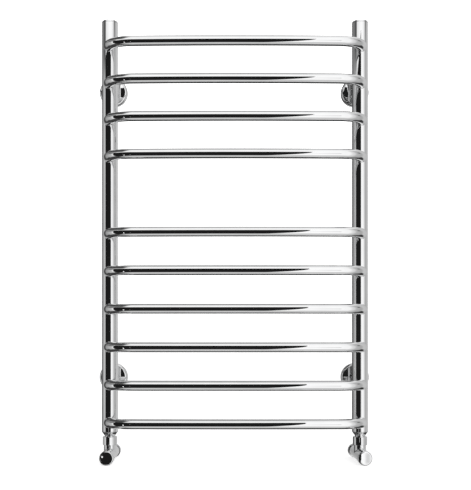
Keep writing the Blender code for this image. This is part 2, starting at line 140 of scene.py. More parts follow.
# Shared by the pieces
GAP = 0.0003
CHAMFER = 0.0008
SOFT = 0.0003  # radius of an ordinary broken edge
SUNK = 0.00005  # how far a weld's foot lies under the tube's surface
WELD_END = (0.95, 0.0008)  # a weld's last ring: its size as a share of the foot's, and its depth
FOOT_DEPTH = 0.0015  # how far a branch's arched foot lies under the tube's surface
FOOT_SHARES = (0.8, 0.55, 0.3)  # the arched foot's rings, as shares of the branch's radius

# Angles in degrees
STRAIGHT = 160  # a profile's corner that is this flat stays as it is
SHARP = 38  # edges that turn more than this are drawn sharp

# Facets round a piece, and steps along its curves
FINE = 96
MEDIUM = 64
SMALL = 32
BOW_STEPS = 10
BEND_STEPS = 32
WELD_STEPS = 6
ARC_STEPS = 16

SIDES = ("left", "right")
ROWS = ("upper", "lower")

# Camera: its place, and its focal length and shift as shares of the picture's height
CAMERA_PLACE = (-0.040, -1.823, -0.222)
FOCAL = 1.785714
SHIFT = (0.0418, 0.198)

# Stage
FLOOR_RADIUS = 24
FLOOR_GAP = 0.0002
BACKDROP_RADIUS = 25

# The dark screen before the object: the (azimuth, height) ends of its lower and upper edges, and
# its (height, glow) shades. Azimuths are in degrees, 0 towards the room, and grow to the right.
# Each lamp has a name, an azimuth, half a width, its heights and a brightness.
SCREEN_RADIUS = 1.95
LAMP_RADIUS = 0.98 * SCREEN_RADIUS
SCREEN_EDGES = (((-65, -2.60), (7.4, -2.60)), ((-65, 0.88), (13.3, 1.04)))
SCREEN_STEPS = 48
SCREEN_SHADES = [(-2.55, 0.60), (-2.10, 0.012)]
LAMPS = (
    ("left_lamp", -36.5, 0.030, (-1.25, -0.76), 2.2),
    ("right_lamp", -19.5, 0.029, (-0.64, -0.56), 1.0),
)


# Shapes


def bridge(shape, ring, following):
    """Joins two rings of points with faces. A ring of one point closes the shape to a tip."""
    count = max(len(ring), len(following))
    for index in range(count):
        after = (index + 1) % count
        corners = (
            ring[index % len(ring)],
            ring[after % len(ring)],
            following[after % len(following)],
            following[index % len(following)],
        )
        shape.faces.new(list(dict.fromkeys(corners)))


def add_rings(shape, rings, closed=False):
    """Adds a skin over rings of points, and joins the last ring to the first in a closed one."""
    made = [[shape.verts.new(point) for point in ring] for ring in rings]
    pairs = list(zip(made, made[1:]))
    if closed:
        pairs.append((made[-1], made[0]))
    for ring, following in pairs:
        bridge(shape, ring, following)


def even_angles(facets):
    """Angles round a full turn, in radians."""
    return [tau * facet / facets for facet in range(facets)]


def spun(rows, angles, closed=False):
    """Spins (distance along Z, radius) rows about Z. A radius may be a function of the angle."""
    rings = []
    for along, radius in rows:
        if radius == 0:
            rings.append([Vector((0, 0, along))])
            continue
        reaches = [radius(turn) if callable(radius) else radius for turn in angles]
        rings.append([Vector((r * cos(a), r * sin(a), along)) for r, a in zip(reaches, angles)])
    shape = bmesh.new()
    add_rings(shape, rings, closed)
    bmesh.ops.recalc_face_normals(shape, faces=shape.faces)
    return shape


def soften(rows, size=SOFT, closed=False, steps=4):
    """Rounds the corners of a profile of (distance along Z, radius) rows."""
    made = []
    for index, corner in enumerate(rows):
        at_end = not closed and index in (0, len(rows) - 1)
        here = Vector(corner)
        back = Vector(rows[index - 1]) - here
        ahead = Vector(rows[(index + 1) % len(rows)]) - here
        if at_end or back.angle(ahead) > radians(STRAIGHT):
            made.append(corner)
            continue
        cut = min(size, 0.45 * back.length, 0.45 * ahead.length)
        start = here + back.normalized() * cut
        end = here + ahead.normalized() * cut
        for step in range(steps + 1):
            share = step / steps
            point = start * (1 - share) ** 2 + here * (2 * share * (1 - share)) + end * share**2
            made.append(tuple(point))
    return made


def arc(centre, radii, start, end, steps=ARC_STEPS):
    """Profile points on an ellipse. Its angles are in degrees from the radial direction."""
    angles = [radians(start + (end - start) * step / steps) for step in range(steps + 1)]
    return [(centre[0] + radii[0] * sin(a), centre[1] + radii[1] * cos(a)) for a in angles]


def weld_rings(radius, tube_radius, fillet, angles):
    """Rings of a branch that flares on to a tube, from the branch to a ring under the tube's skin.

    A point is (across the tube, along the tube, distance from the tube's axis).
    """
    feet = []
    for turn in angles:
        across = radius * cos(turn)
        corner = Vector((across, radius * sin(turn), sqrt(tube_radius**2 - across**2)))
        out = Vector((cos(turn), sin(turn), 0))
        normal = Vector((corner.x, 0, corner.z)) / tube_radius
        skin = (out - normal * out.dot(normal)).normalized()
        end = corner + skin * fillet
        shrink = (tube_radius - SUNK) / sqrt(end.x**2 + end.z**2)
        feet.append((corner, Vector((end.x * shrink, end.y, end.z * shrink))))
    rings = []
    for step in range(WELD_STEPS + 1):
        share = step / WELD_STEPS
        ring = []
        for corner, end in feet:
            start = corner + Vector((0, 0, fillet))
            bend = corner * (2 * share * (1 - share))
            ring.append(start * (1 - share) ** 2 + bend + end * share**2)
        rings.append(ring)
    share, depth = WELD_END
    rings.append([Vector((end.x * share, end.y * share, end.z - depth)) for _, end in feet])
    return rings


def branch_rings(radius, tube_radius, fillet, end, angles):
    """Rings of a solid branch, from its flat end to an arched foot inside the tube's wall."""
    rows = soften([(end, 0), (end, radius), (end - 4 * SOFT, radius)])
    top = [[Vector((0, 0, end))]]
    for along, reach in rows[1:]:
        top.append([Vector((reach * cos(turn), reach * sin(turn), along)) for turn in angles])
    welded = weld_rings(radius, tube_radius, fillet, angles)
    inside = tube_radius - FOOT_DEPTH
    foot = []
    for share in FOOT_SHARES:
        feet = [(radius * share * cos(turn), radius * share * sin(turn)) for turn in angles]
        foot.append([Vector((x, y, sqrt(inside**2 - x**2))) for x, y in feet])
    return [*top, *welded, *foot, [Vector((0, 0, inside))]]


def placed(rings, to_world):
    return [[to_world(point) for point in ring] for ring in rings]


# Finishes


def link(tree, source, target):
    """Feeds an input with a number or with another node's output."""
    if isinstance(source, (int, float)):
        target.default_value = source
    else:
        tree.links.new(source, target)


def new_node(tree, kind, **values):
    """A shader node. Names that start with in__ set its inputs, and the others its properties."""
    node = tree.nodes.new(kind)
    for name, value in values.items():
        if name.startswith("in__"):
            node.inputs[name[4:].replace("_", " ")].default_value = value
        else:
            setattr(node, name, value)
    return node


def noise(tree, coordinates, scale, stretch=(1, 1, 1), detail=3.0):
    """Object-space noise, drawn out along the axes whose stretch is small."""
    mapping = new_node(tree, "ShaderNodeMapping")
    mapping.inputs["Scale"].default_value = stretch
    made = new_node(tree, "ShaderNodeTexNoise", in__Scale=scale, in__Detail=detail)
    link(tree, coordinates, mapping.inputs["Vector"])
    link(tree, mapping.outputs["Vector"], made.inputs["Vector"])
    return made.outputs["Fac"]


def spread(tree, value, low, high, start=0.3, end=0.7, curve="LINEAR"):
    """Maps start and end, which a noise's values seldom pass, to low and high."""
    made = new_node(tree, "ShaderNodeMapRange", clamp=True, interpolation_type=curve)
    for name, number in {"From Min": start, "From Max": end, "To Min": low, "To Max": high}.items():
        made.inputs[name].default_value = number
    link(tree, value, made.inputs["Value"])
    return made.outputs["Result"]


def finish(name, metallic, colours, roughness, patch, grain, wave):
    """A procedural surface.

    The colour and the roughness drift over patches. The grain adds fine drawn or turned marks, and
    the waves bend the reflections a little. Patch, grain and wave are a noise's scale and stretch,
    and grain and wave end in a bump height.
    """
    made = bpy.data.materials.new(name)
    made.use_nodes = True
    tree = made.node_tree
    shader = tree.nodes["Principled BSDF"]
    shader.inputs["Metallic"].default_value = metallic
    place = new_node(tree, "ShaderNodeTexCoord").outputs["Object"]
    patches = noise(tree, place, patch[0], patch[1], 4.0)
    marks = noise(tree, place, grain[0], grain[1], 2.0)
    waves = noise(tree, place, wave[0], wave[1], 1.0)

    tint = new_node(tree, "ShaderNodeMix", data_type="RGBA")
    tint.inputs["A"].default_value = (*colours[0], 1)
    tint.inputs["B"].default_value = (*colours[1], 1)
    link(tree, spread(tree, patches, 0, 1), tint.inputs["Factor"])
    link(tree, tint.outputs["Result"], shader.inputs["Base Color"])

    total = new_node(tree, "ShaderNodeMath", operation="ADD")
    link(tree, spread(tree, patches, roughness[0], roughness[1], 0.45, 0.75), total.inputs[0])
    link(tree, spread(tree, marks, 0, roughness[2]), total.inputs[1])
    link(tree, total.outputs["Value"], shader.inputs["Roughness"])

    ripple = new_node(tree, "ShaderNodeBump", in__Strength=1.0, in__Distance=wave[2])
    scratch = new_node(tree, "ShaderNodeBump", in__Strength=1.0, in__Distance=grain[2])
    link(tree, waves, ripple.inputs["Height"])
    link(tree, marks, scratch.inputs["Height"])
    link(tree, ripple.outputs["Normal"], scratch.inputs["Normal"])
    link(tree, scratch.outputs["Normal"], shader.inputs["Normal"])
    return made


def finishes():
    """Each look's name, with its material and the record's slot that it belongs to."""
    chrome = ((0.88, 0.882, 0.888), (0.93, 0.932, 0.935))
    zinc = ((0.50, 0.51, 0.53), (0.66, 0.67, 0.68))
    brass = ((0.60, 0.42, 0.17), (0.78, 0.58, 0.27))
    black = ((0.012, 0.012, 0.013), (0.028, 0.028, 0.028))
    even = (1, 1, 1)
    plate = (0.010, 0.030, 0.010)
    drawn_up = (900, (1, 1, 0.03), 4e-7)
    drawn_across = (900, (0.03, 1, 1), 4e-7)
    turned = (1500, (1, 0.2, 1), 3e-7)
    cast = (2200, even, 8e-6)
    cut = (2600, (1, 4, 1), 4e-6)
    moulded = (3000, even, 1.2e-5)
    looks = {
        "chrome_upright": ("chrome", 1, chrome, plate, (22, even), drawn_up, (26, even, 3e-5)),
        "chrome_rung": ("chrome", 1, chrome, plate, (22, even), drawn_across, (26, even, 2e-5)),
        "chrome_turned": ("chrome", 1, chrome, plate, (60, even), turned, (70, even, 8e-6)),
        "zinc": ("steel", 1, zinc, (0.28, 0.42, 0.10), (140, even), cast, (300, even, 1e-5)),
        "brass": ("brass", 1, brass, (0.22, 0.36, 0.10), (120, even), cut, (300, even, 4e-6)),
        "rubber": ("rubber", 0, black, (0.55, 0.75, 0.10), (200, even), moulded, (400, even, 1e-5)),
    }
    return {name: (finish(name, *values), slot) for name, (slot, *values) in looks.items()}


# Pieces


def add_piece(name, shape, look, body, *nodes):
    """A visible piece that rides on a body and stands for CAD nodes."""
    mesh = bpy.data.meshes.new(name)
    shape.to_mesh(mesh)
    shape.free()
    mesh.shade_smooth()
    mesh.set_sharp_from_angle(angle=radians(SHARP))
    surface, slot = LOOKS[look]
    mesh.materials.append(surface)
    made = bpy.data.objects.new(name, mesh)
    bpy.context.scene.collection.objects.link(made)
    weights = made.modifiers.new("face_weights", "WEIGHTED_NORMAL")
    weights.keep_sharp = True
    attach(made, body)
    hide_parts(*nodes)
    return made


def middle(node):
    low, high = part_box(node)
    return (low + high) / 2


def from_wall(node):
    """The move that lays a shape spun about Z on the node's level axis. Z runs out from the wall."""
    centre = middle(node)
    return Matrix.Translation((centre.x, 0, centre.z)) @ Matrix.Rotation(pi / 2, 4, "X")


def on_tube(node):
    """The move that stands a shape spun about Z on the node's upright axis, at its real height."""
    centre = middle(node)
    return Matrix.Translation((centre.x, centre.y, 0))


def level_piece(node, suffix, rows, look, body, facets=FINE, closed=True):
    """A piece turned about a level axis that stands for one node."""
    shape = spun(rows, even_angles(facets), closed)
    shape.transform(from_wall(node))
    return add_piece(f"{node}_{suffix}", shape, look, body, node)


# Ladder


def tube_frame(side):
    """The tube's axis as (x, y), and its radius."""
    low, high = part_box(f"top_cap_{side}")
    centre = (low + high) / 2
    return centre.x, centre.y, (high.x - low.x) / 2


def rung_path(reach, front, end):
    """The right half of a rung's centreline, as (point, outward direction).

    The middle is slightly bowed, and the bend is most of a quarter ellipse that would end at
    y = end.
    """
    start = reach - BEND_ACROSS
    crown = RUNG_BOW / start**2
    depth = end - front - crown * reach**2
    steps = [(start * step / BOW_STEPS, 0, 1, 0) for step in range(BOW_STEPS)]
    for step in range(BEND_STEPS + 1):
        turn = radians(BEND_STOP) * step / BEND_STEPS
        across, inward = BEND_ACROSS * cos(turn), depth * sin(turn)
        steps.append((start + BEND_ACROSS * sin(turn), depth * (1 - cos(turn)), across, inward))
    path = []
    for x, sunk, across, inward in steps:
        point = Vector((x, front + crown * x**2 + sunk, 0))
        outward = Vector((inward + 2 * crown * x * across, -across, 0))
        path.append((point, outward.normalized()))
    return path


def rung(number):
    """A bowed bar whose bent ends flare on to the tubes."""
    node = f"rung_{number:02d}"
    low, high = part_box(node)
    lift = Vector((0, 0, (low.z + high.z) / 2))
    reach = high.x - RUNG_RADIUS
    _, tube_y, tube_radius = tube_frame("right")
    angles = even_angles(MEDIUM)
    right = []
    for point, out in rung_path(reach, low.y + RUNG_RADIUS, tube_y - tube_radius):
        ring = []
        for turn in angles:
            level = point + lift + out * (RUNG_RADIUS * cos(turn))
            ring.append(level + Vector((0, 0, RUNG_RADIUS * sin(turn))))
        right.append(ring)
    welded = weld_rings(RUNG_RADIUS, tube_radius, RUNG_FILLET, angles)
    welded.append([Vector((0, 0, tube_radius - RUNG_END_DEPTH))])
    right += placed(welded, lambda p: Vector((reach + p.x, tube_y - p.z, lift.z + p.y)))
    left = [[Vector((-p.x, p.y, p.z)) for p in ring] for ring in reversed(right[1:])]
    shape = bmesh.new()
    add_rings(shape, left + right)
    bmesh.ops.recalc_face_normals(shape, faces=shape.faces)
    add_piece(f"{node}_tube", shape, "chrome_rung", "radiator", node)


def upright(side):
    """The tube, with a filleted boss on its back for each bracket's post."""
    node = f"upright_{side}"
    low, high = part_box(node)
    x, y, radius = tube_frame(side)
    bore = radius - TUBE_WALL
    rows = [(low.z, bore), (high.z, bore), (high.z, radius), (low.z, radius)]
    shape = spun(soften(rows, TUBE_SOFT, True), even_angles(FINE), True)
    shape.transform(Matrix.Translation((x, y, 0)))
    for row in ROWS:
        height = middle(f"bracket_{row}_{side}_post").z
        end = -BOSS_TO_WALL - y
        rings = branch_rings(BOSS_RADIUS, radius, BOSS_FILLET, end, even_angles(MEDIUM))
        add_rings(shape, placed(rings, lambda p: Vector((x + p.x, y + p.z, height - p.y))))
    bmesh.ops.recalc_face_normals(shape, faces=shape.faces)
    add_piece(f"{node}_tube", shape, "chrome_upright", "radiator", node)


def top_cap(side):
    """A cap with a rounded edge, on a spigot inside the tube."""
    node = f"top_cap_{side}"
    low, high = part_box(node)
    _, _, radius = tube_frame(side)
    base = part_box(f"upright_{side}")[1].z + GAP
    spigot = radius - TUBE_WALL - GAP
    edge = arc((high.z - CAP_EDGE, radius - CAP_EDGE), (CAP_EDGE, CAP_EDGE), 0, 90, 10)
    rows = [
        (low.z, 0),
        (low.z, spigot),
        (base, spigot),
        (base, radius - CAP_CHAMFER),
        (base + CAP_CHAMFER, radius),
        *edge,
        (high.z, 0),
    ]
    shape = spun(rows, even_angles(FINE))
    shape.transform(on_tube(node))
    add_piece(f"{node}_plug", shape, "chrome_upright", "radiator", node)


def end_cone(side):
    """The reducer under the tube, bored for the union's tail."""
    node = f"end_cone_{side}"
    low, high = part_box(node)
    _, _, radius = tube_frame(side)
    tube_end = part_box(f"upright_{side}")[0].z
    seat = low.z - GAP / 2
    spigot = radius - TUBE_WALL - GAP
    thread = TAIL_RADIUS + GAP
    rows = [
        (high.z, thread),
        (high.z, spigot),
        (tube_end - GAP, spigot),
        (tube_end - GAP, radius),
        (tube_end - GAP - CONE_SHOULDER, radius - CONE_SHRINK),
        (tube_end - CONE_HEIGHT, CONE_NECK),
        (seat, CONE_NECK),
        (seat, thread),
    ]
    shape = spun(soften(rows, CONE_SOFT, True), even_angles(FINE), True)
    shape.transform(on_tube(node))
    add_piece(f"{node}_reducer", shape, "chrome_upright", "radiator", node)


# Wall brackets


def bracket(row, side):
    """A foot on the wall, the post that slides in it, their screws and the cover."""
    name = f"bracket_{row}_{side}"
    socket = POST_RADIUS + GAP
    hole = WALL_SCREW_RADIUS + GAP
    low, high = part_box(f"{name}_base")
    foot = (high.x - low.x) / 2
    base = [
        (0, hole),
        (0, foot),
        (BASE_THICKNESS, foot - CHAMFER),
        (BASE_THICKNESS, SOCKET_RADIUS),
        (SOCKET_DEPTH, SOCKET_RADIUS),
        (SOCKET_DEPTH, socket),
        (BASE_THICKNESS, socket),
        (BASE_THICKNESS, hole),
    ]
    level_piece(f"{name}_base", "foot", soften(base, BASE_SOFT, True), "zinc", "radiator")

    low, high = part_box(f"{name}_post")
    post = [
        (-high.y, 0),
        (-high.y, POST_RADIUS - CHAMFER),
        (-high.y + CHAMFER, POST_RADIUS),
        (BOSS_TO_WALL - GAP, POST_RADIUS),
        (BOSS_TO_WALL - GAP, STUD_RADIUS),
        (-low.y, STUD_RADIUS),
        (-low.y, 0),
    ]
    level_piece(f"{name}_post", "rod", soften(post), "chrome_turned", "radiator", MEDIUM, False)

    wall_screw(name)
    set_screw(name)
    cover(name, row, side)


def wall_screw(name):
    """A pan-head screw with a real thread."""
    node = f"{name}_wall_screw"
    point = -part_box(node)[1].y
    head = BASE_THICKNESS + GAP
    step = WALL_SCREW_PITCH / 8

    def crest(along):
        """The thread's radius at one distance along the screw, as a function of the angle."""
        grown = min(1.0, (along - point) / WALL_SCREW_TIP)

        def reach(turn):
            phase = (along / WALL_SCREW_PITCH - turn / tau) % 1.0
            ridge = max(0.0, 1 - abs(phase - 0.5) / 0.22)
            return grown * (WALL_SCREW_CORE + (WALL_SCREW_RADIUS - WALL_SCREW_CORE) * ridge)

        return reach

    count = int((head - THREAD_TO_HEAD - point) / step)
    thread = [(point + step * index, crest(point + step * index)) for index in range(1, count)]
    shank = [(head - SHANK_TO_HEAD, WALL_SCREW_CORE), (head, WALL_SCREW_CORE)]
    dome = arc((head, WALL_SCREW_HEAD / 2), (WALL_SCREW_DOME, WALL_SCREW_HEAD / 2), 0, 90, 8)
    rows = [(point, 0), *thread, *shank, (head, WALL_SCREW_HEAD), *dome, (dome[-1][0], 0)]
    level_piece(node, "thread", rows, "zinc", "radiator", 24, False)


def set_screw(name):
    """A grub screw with a hexagon recess for its key."""
    node = f"{name}_set_screw"
    low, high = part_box(node)

    def key(turn):
        """The recess's reach at one angle."""
        return SET_SCREW_KEY / cos((turn + pi / 6) % (pi / 3) - pi / 6)

    rows = [
        (low.z + SET_SCREW_KEY_DEPTH, 0),
        (low.z + SET_SCREW_KEY_DEPTH, key),
        (low.z, key),
        (low.z, SET_SCREW_RADIUS - SET_SCREW_CHAMFER),
        (low.z + SET_SCREW_CHAMFER, SET_SCREW_RADIUS),
        (high.z, SET_SCREW_RADIUS),
        (high.z, 0),
    ]
    shape = spun(rows, even_angles(36))
    shape.transform(on_tube(node))
    add_piece(f"{node}_grub", shape, "zinc", "radiator", node)


def cover(name, row, side):
    """The shell over the foot: a skirt, a full round edge and an almost flat face."""
    node = f"{name}_cover"
    low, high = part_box(node)
    radius = (high.x - low.x) / 2
    depth = -low.y
    bore = POST_RADIUS + COVER_PLAY
    rise = depth - COVER_DOME
    reach = radius - COVER_EDGE

    def face(share, sunk):
        """A point on the shallow dome, from the bore at 0 to the round edge at 1."""
        along = bore + (reach - bore) * share
        return (depth - sunk - COVER_DOME * (along**2 - bore**2) / (reach**2 - bore**2), along)

    tilt = atan(2 * COVER_DOME * reach / (reach**2 - bore**2)) * 180 / pi
    steps = [step / 12 for step in range(1, 12)]
    outer = arc((rise - COVER_EDGE, reach), (COVER_EDGE, COVER_EDGE), 0, 90 - tilt, 20)
    thin = COVER_EDGE - COVER_SHEET
    inner = arc((rise - COVER_EDGE, reach), (thin, thin), 90 - tilt, 0, 12)
    half = COVER_SHEET / 2
    rim = arc((-high.y + half, radius - half), (half, half), -180, 0, 8)
    hole = [(depth, bore + SOFT), (depth - SOFT, bore), (depth - COVER_SHEET, bore)]
    outside = [face(share, 0) for share in reversed(steps)]
    inside = [face(share, COVER_SHEET) for share in steps]
    rows = [*rim, *outer, *outside, *hole, *inside, *inner]
    level_piece(node, "shell", rows, "chrome_turned", f"{row}_{side}_cover")


# Unions and valves


def union_nut(side):
    """An almost round nut with six shallow flats and scalloped bevels."""
    node = f"valve_{side}_union_nut"
    low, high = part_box(node)
    widest = (high.x - low.x) / 2

    def facing(inset):
        """The nut's radius at one level, as a function of the angle. It is less on the flats."""

        def at(turn):
            from_flat = abs((turn + pi / 6) % (pi / 3) - pi / 6) / (pi / 6)
            return widest - max(inset, NUT_FLAT_SINK * (1 - from_flat**2))

        return at

    lip = high.z - NUT_LIP
    flange = FLANGE_RADIUS + GAP
    thread = TAIL_RADIUS + GAP
    turns = [radians(turn) for turn in range(0, 91, 9)]
    bevel = [(NUT_BEVEL * (1 - cos(turn)), NUT_BEVEL * (1 - sin(turn))) for turn in turns]
    bottom = [(low.z + rise, facing(inset)) for rise, inset in bevel]
    top = [(high.z - rise, facing(inset)) for rise, inset in reversed(bevel)]
    rows = [(low.z, flange), *bottom, *top, (high.z, thread), (lip, thread), (lip, flange)]
    shape = spun(rows, even_angles(2 * FINE), True)
    shape.transform(on_tube(node))
    add_piece(f"{node}_hexagon", shape, "chrome_turned", "radiator", node)


def valve_body(side):
    """The level barrel, and a neck that flows into it with a cast fillet."""
    node = f"valve_{side}_body"
    axis = middle(f"valve_{side}_knob")
    tube_x, tube_y, _ = tube_frame(side)
    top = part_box(node)[1].z
    barrel = [
        (INLET_END, WATERWAY),
        (INLET_END, INLET_RADIUS),
        (VALVE_BACK, INLET_RADIUS),
        (VALVE_BACK, VALVE_RADIUS),
        (VALVE_FRONT, VALVE_RADIUS),
        (VALVE_FRONT, CHAMBER_RADIUS),
        (SEAT, CHAMBER_RADIUS),
        (SEAT, WATERWAY),
    ]
    shape = spun(soften(barrel, VALVE_SOFT, True), even_angles(FINE), True)
    shape.transform(from_wall(f"valve_{side}_knob"))
    height = top - axis.z
    angles = even_angles(FINE)
    rings = branch_rings(VALVE_NECK_RADIUS, VALVE_RADIUS, VALVE_NECK_FILLET, height, angles)
    add_rings(shape, placed(rings, lambda p: Vector((tube_x + p.x, tube_y + p.y, axis.z + p.z))))
    bmesh.ops.recalc_face_normals(shape, faces=shape.faces)
    add_piece(f"{node}_casting", shape, "chrome_turned", "radiator", node)


def inlet_nut(side):
    """The round nut that closes on the pipe at the wall."""
    node = f"valve_{side}_inlet_nut"
    low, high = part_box(node)
    radius = (high.x - low.x) / 2
    thread = INLET_RADIUS + GAP
    rows = [
        (-high.y, INLET_NUT_HOLE),
        (-high.y, radius),
        (-low.y, radius),
        (-low.y, thread),
        (INLET_END - GAP, thread),
        (INLET_END - GAP, INLET_NUT_HOLE),
    ]
    level_piece(node, "ring", soften(rows, INLET_NUT_SOFT, True), "chrome_turned", "radiator")


def bonnet(side):
    """The headwork in the front of the body, with room behind its lip for the stem's collar."""
    bore = STEM_RADIUS + GAP
    thread = CHAMBER_RADIUS - 2 * GAP
    shoulder = VALVE_FRONT + GAP
    rows = [
        (BONNET_BACK, bore + COLLAR_ROOM),
        (BONNET_BACK, thread),
        (shoulder, thread),
        (shoulder, BONNET_FLANGE),
        (BONNET_FRONT, BONNET_FLANGE),
        (BONNET_FRONT, bore),
        (BONNET_FRONT - BONNET_LIP, bore),
        (BONNET_FRONT - BONNET_LIP, bore + COLLAR_ROOM),
    ]
    rows = soften(rows, SOFT, True)
    level_piece(f"valve_{side}_bonnet", "headwork", rows, "brass", "radiator", MEDIUM)


def knob(side):
    """A round hand knob with an almost flat face and a full, soft edge."""
    node = f"valve_{side}_knob"
    low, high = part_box(node)
    radius = (high.x - low.x) / 2
    back, front = -high.y, -low.y
    tilt = 2 * KNOB_DOME / KNOB_FACE
    face = [(front - KNOB_DOME * (step / 8) ** 2, KNOB_FACE * step / 8) for step in range(8)]
    centre = (front - KNOB_DOME - KNOB_EDGE, radius - KNOB_EDGE)
    edge = arc(centre, (KNOB_EDGE, KNOB_EDGE), 90 - tilt * 180 / pi, 0, 14)
    recess = BONNET_FLANGE + 2 * GAP
    hub = BONNET_FRONT + 2 * GAP
    bore = STEM_RADIUS + GAP
    bottom = STEM_FRONT + GAP
    skirt = [(back + KNOB_CHAMFER, radius), (back, radius - KNOB_CHAMFER)]
    inside = [(back, recess), (hub, recess), (hub, bore), (bottom, bore), (bottom, 0)]
    rows = [*face, *edge, *skirt, *inside]
    level_piece(node, "handle", rows, "chrome_turned", f"{side}_knob", FINE, False)


def valve(side):
    """The visible pieces of one valve. The rest keep their CAD shape."""
    union_nut(side)
    valve_body(side)
    inlet_nut(side)
    bonnet(side)
    knob(side)


# Air vent


def air_vent():
    """A small boss behind the left tube, bored for its screw."""
    x, y, radius = tube_frame("left")
    low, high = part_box("air_vent_body")
    height = (low.z + high.z) / 2
    outer = (high.x - low.x) / 2
    bore = BLEED_RADIUS + GAP
    head = high.y - y
    angles = even_angles(MEDIUM)
    rows = [(head - VENT_LIP, bore), (head, bore), (head, outer), (head - VENT_SIDE, outer)]
    rows = soften(rows, VENT_SOFT)
    rings = [[Vector((r * cos(a), r * sin(a), along)) for a in angles] for along, r in rows]
    rings += weld_rings(outer, radius, VENT_FILLET, angles)
    inside = radius - VENT_DEPTH
    rings.append([Vector((bore * cos(turn), bore * sin(turn), inside)) for turn in angles])
    shape = bmesh.new()
    add_rings(shape, placed(rings, lambda p: Vector((x + p.x, y + p.z, height - p.y))), True)
    bmesh.ops.recalc_face_normals(shape, faces=shape.faces)
    add_piece("air_vent_body_plug", shape, "chrome_turned", "radiator", "air_vent_body")
    bleed_screw()


def bleed_screw():
    """The vent's screw: a round shank, and two lands that leave a driver's slot between them."""
    node = "air_vent_bleed_screw"
    low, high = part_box(node)
    centre = (low + high) / 2
    radius = (high.x - low.x) / 2
    slot = high.y - SLOT_DEPTH
    move = Vector((centre.x, 0, centre.z))
    shape = bmesh.new()
    circle = [Vector((radius * cos(turn), 0, radius * sin(turn))) for turn in even_angles(SMALL)]
    shank = [[Vector((0, low.y, 0))]]
    shank += [[point + Vector((0, along, 0)) for point in circle] for along in (low.y, slot)]
    shank.append([Vector((0, slot, 0))])
    add_rings(shape, placed(shank, lambda p: p + move))
    reach = acos(SLOT_WIDTH / 2 / radius)
    turns = [reach * (step / 8 - 1) for step in range(17)]
    for sign in (-1, 1):
        land = [Vector((sign * radius * cos(turn), 0, radius * sin(turn))) for turn in turns]
        heart = Vector((sign * radius * LAND_HEART, 0, 0))
        layers = [[point + Vector((0, along, 0)) for point in land] for along in (slot, high.y)]
        ends = [[heart + Vector((0, along, 0))] for along in (slot, high.y)]
        add_rings(shape, placed([ends[0], *layers, ends[1]], lambda p: p + move))
    bmesh.ops.recalc_face_normals(shape, faces=shape.faces)
    add_piece(f"{node}_slotted", shape, "zinc", "bleed_screw", node)


# Carried-over CAD nodes


def dress_cad_nodes(nodes):
    """Gives the hidden inner parts, which keep their CAD shape, a finish of their own."""
    for side in SIDES:
        for part, look in {
            "union_tail": "brass",
            "union_gasket": "rubber",
            "stem_seal": "rubber",
            "stem": "brass",
            "plug": "brass",
            "plug_washer": "rubber",
        }.items():
            node = nodes[f"valve_{side}_{part}"]
            node.data.materials.clear()
            node.data.materials.append(LOOKS[look][0])


# Studio


class Sky:
    """The studio's walls as patches of brightness in azimuth and elevation, far from the object."""

    def __init__(self):
        world = bpy.data.worlds.new("studio")
        world.use_nodes = True
        bpy.context.scene.world = world
        self.tree = world.node_tree
        direction = new_node(self.tree, "ShaderNodeTexCoord").outputs["Generated"]
        split = new_node(self.tree, "ShaderNodeSeparateXYZ")
        link(self.tree, direction, split.inputs["Vector"])
        ahead = self.math("MULTIPLY", split.outputs["Y"], -1)
        turn = self.math("ARCTAN2", split.outputs["X"], ahead)
        self.azimuth = self.math("MULTIPLY", turn, 180 / pi)
        self.elevation = self.math("MULTIPLY", self.math("ARCSINE", split.outputs["Z"]), 180 / pi)
        self.value = self.math("ADD", self.azimuth, 0)

    def math(self, operation, *values):
        node = new_node(self.tree, "ShaderNodeMath", operation=operation)
        for index, value in enumerate(values):
            link(self.tree, value, node.inputs[index])
        return node.outputs["Value"]

    def ramp(self, value, stops):
        """A smooth curve through (angle, brightness) stops."""
        node = new_node(self.tree, "ShaderNodeValToRGB")
        node.color_ramp.interpolation = "EASE"
        first, last = stops[0][0], stops[-1][0]
        while len(node.color_ramp.elements) < len(stops):
            node.color_ramp.elements.new(0.5)
        for element, (angle, brightness) in zip(node.color_ramp.elements, stops):
            element.position = (angle - first) / (last - first)
            element.color = (brightness, brightness, brightness, 1)
        scaled = self.math("DIVIDE", self.math("SUBTRACT", value, first), last - first)
        link(self.tree, scaled, node.inputs["Fac"])
        return self.math("ADD", node.outputs["Color"], 0)

    def band(self, value, low, high, soft):
        """1 between two angles, with soft edges."""
        rise = spread(self.tree, value, 0, 1, low - soft, low + soft, "SMOOTHSTEP")
        fall = spread(self.tree, value, 1, 0, high - soft, high + soft, "SMOOTHSTEP")
        return self.math("MULTIPLY", rise, fall)

    def mix(self, start, end, share):
        node = new_node(self.tree, "ShaderNodeMix", data_type="FLOAT")
        for name, value in {"A": start, "B": end, "Factor": share}.items():
            link(self.tree, value, node.inputs[name])
        return node.outputs["Result"]

    def patch(self, brightness, azimuths, elevations, soft):
        """Lays a patch over the sky, with edges softened across and upward."""
        across = self.band(self.azimuth, *azimuths, soft[0])
        upward = self.band(self.elevation, *elevations, soft[1])
        self.value = self.mix(self.value, brightness, self.math("MULTIPLY", across, upward))

    def finish(self):
        background = self.tree.nodes["Background"]
        link(self.tree, self.value, background.inputs["Color"])


